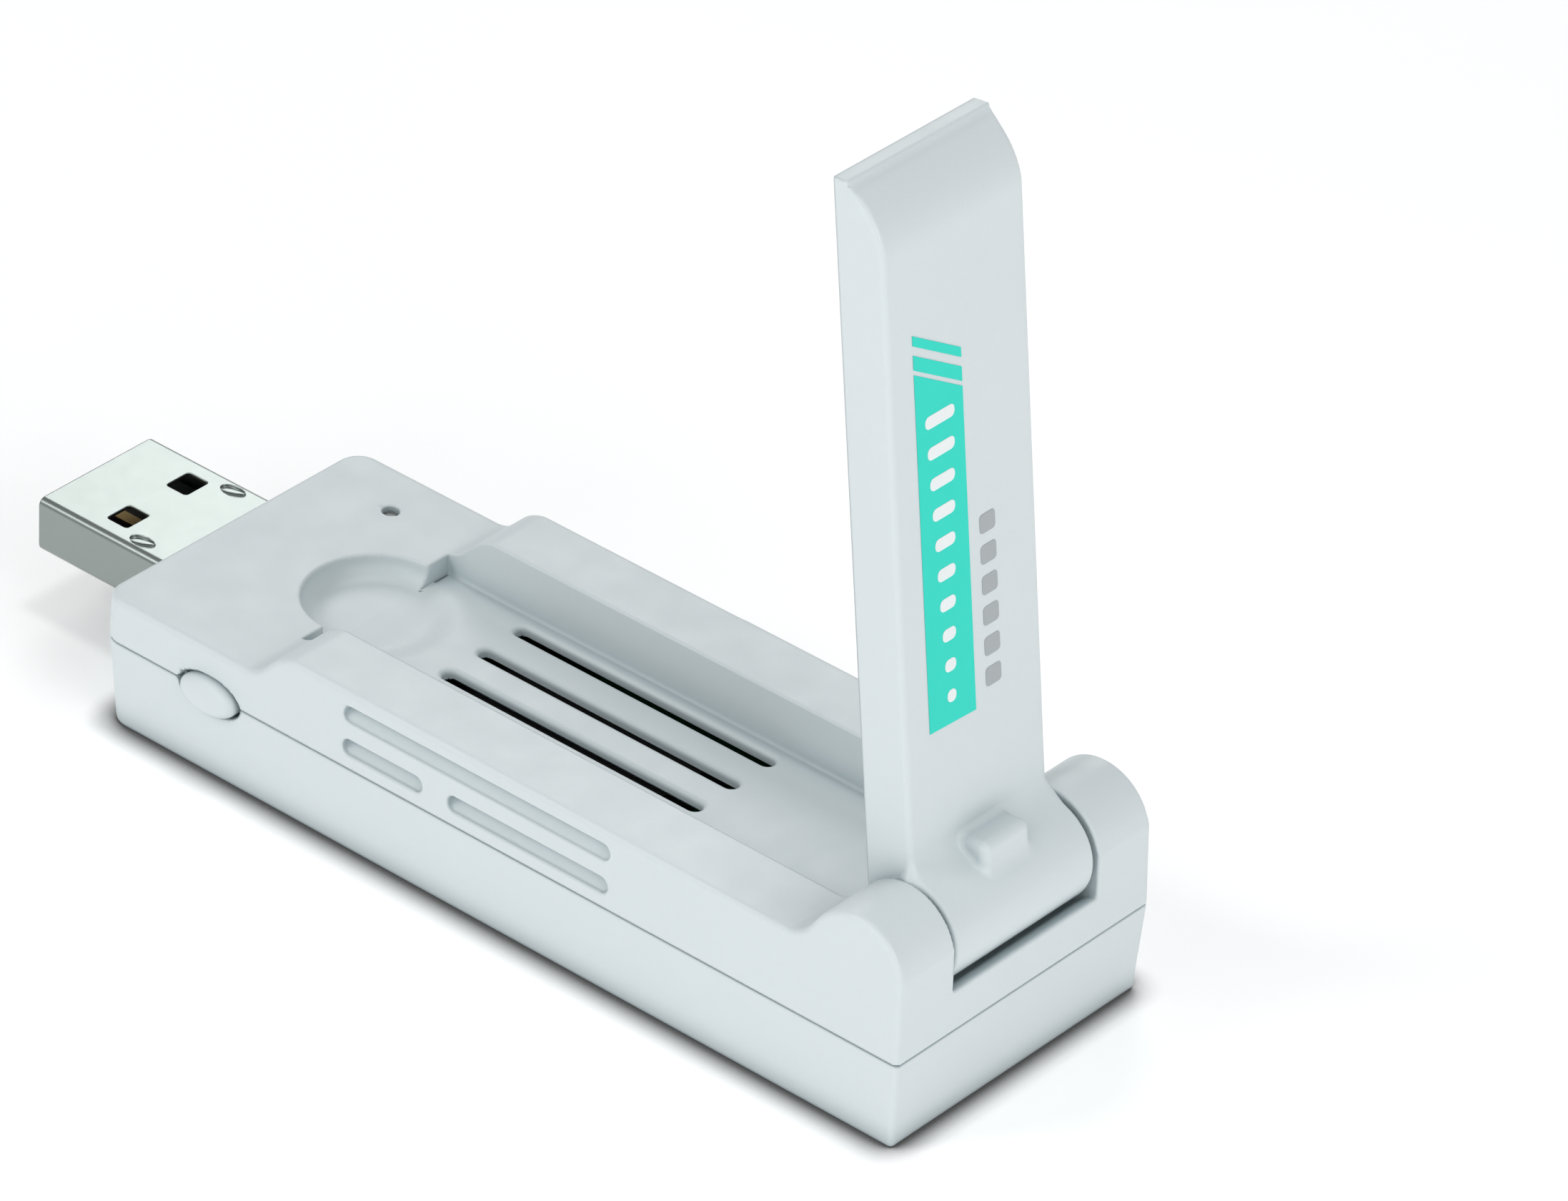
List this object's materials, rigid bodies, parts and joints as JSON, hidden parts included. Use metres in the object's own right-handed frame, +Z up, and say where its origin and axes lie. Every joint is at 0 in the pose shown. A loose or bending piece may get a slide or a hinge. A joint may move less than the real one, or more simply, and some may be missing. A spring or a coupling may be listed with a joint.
{
  "type": "usb wifi adapter",
  "caption": "White USB Wi-Fi adapter: slim two-shell case with a type A plug, side push button, vented bed and a flat antenna that folds down between two rails.",
  "frame": {"origin": "centre of the case's flat underside", "axes": "+X from the plug towards the hinge end, +Y away from the push button's side, +Z up from the underside"},
  "size_m": [0.0887, 0.0279, 0.0686],
  "materials": {
    "white_plastic": "fine matte texture, white",
    "plug_steel": "satin plated steel",
    "tinned_steel": "tinned",
    "gold_plating": "gold flash over copper alloy",
    "insulator_blue": "moulded insulator",
    "board_green": "solder mask over glass epoxy",
    "package_black": "moulded package",
    "ferrite_grey": "ferrite",
    "light_guide": "clear polycarbonate",
    "led_lens": "resin lens",
    "lead_jacket": "fluoropolymer jacket"
  },
  "bodies": {
    "housing": {"lower_shell": "white_plastic", "upper_shell": "white_plastic", "usb_sleeve": "plug_steel", "usb_tongue": "insulator_blue", "circuit_board": "board_green", "wifi_chip": "package_black", "voltage_regulator": "package_black", "tact_switch": "package_black", "rf_shield": "tinned_steel", "crystal": "tinned_steel", "power_inductor": "ferrite_grey", "rf_connector": "gold_plating", "status_led": "led_lens", "light_pipe": "light_guide", "hinge_bush": "plug_steel", "hinge_pin": "plug_steel", "coax_lead_board": "lead_jacket", "usb_contact_1": "gold_plating", "usb_contact_2": "gold_plating", "usb_contact_3": "gold_plating", "usb_contact_4": "gold_plating", "usb3_contact_1": "gold_plating", "usb3_contact_2": "gold_plating", "usb3_contact_3": "gold_plating", "usb3_contact_4": "gold_plating", "usb3_contact_5": "gold_plating"},
    "antenna": {"antenna_shell": "white_plastic", "antenna_back_cover": "white_plastic", "antenna_board": "board_green", "coax_lead_antenna": "lead_jacket", "friction_washer_near": "tinned_steel", "friction_washer_far": "tinned_steel"},
    "button": {"push_button": "white_plastic"},
    "plunger": {"switch_plunger": "insulator_blue"}
  },
  "joints": [
    {"name": "antenna_fold", "type": "hinge", "parent": "housing", "child": "antenna", "pos_m": [0.0332, 0, 0.01325], "axis": [0, 1, 0], "range_deg": [-83, 82]},
    {"name": "button_press", "type": "slide", "parent": "housing", "child": "button", "axis": [0, 1, 0], "range_m": [0, 0.0004], "stiffness_N_per_m": 600},
    {"name": "plunger_press", "type": "slide", "parent": "housing", "child": "plunger", "axis": [0, 1, 0], "range_m": [0, 0.0004]}
  ],
  "couplings": [
    {"joint": "plunger_press", "follows": "button_press", "ratio": 1}
  ]
}
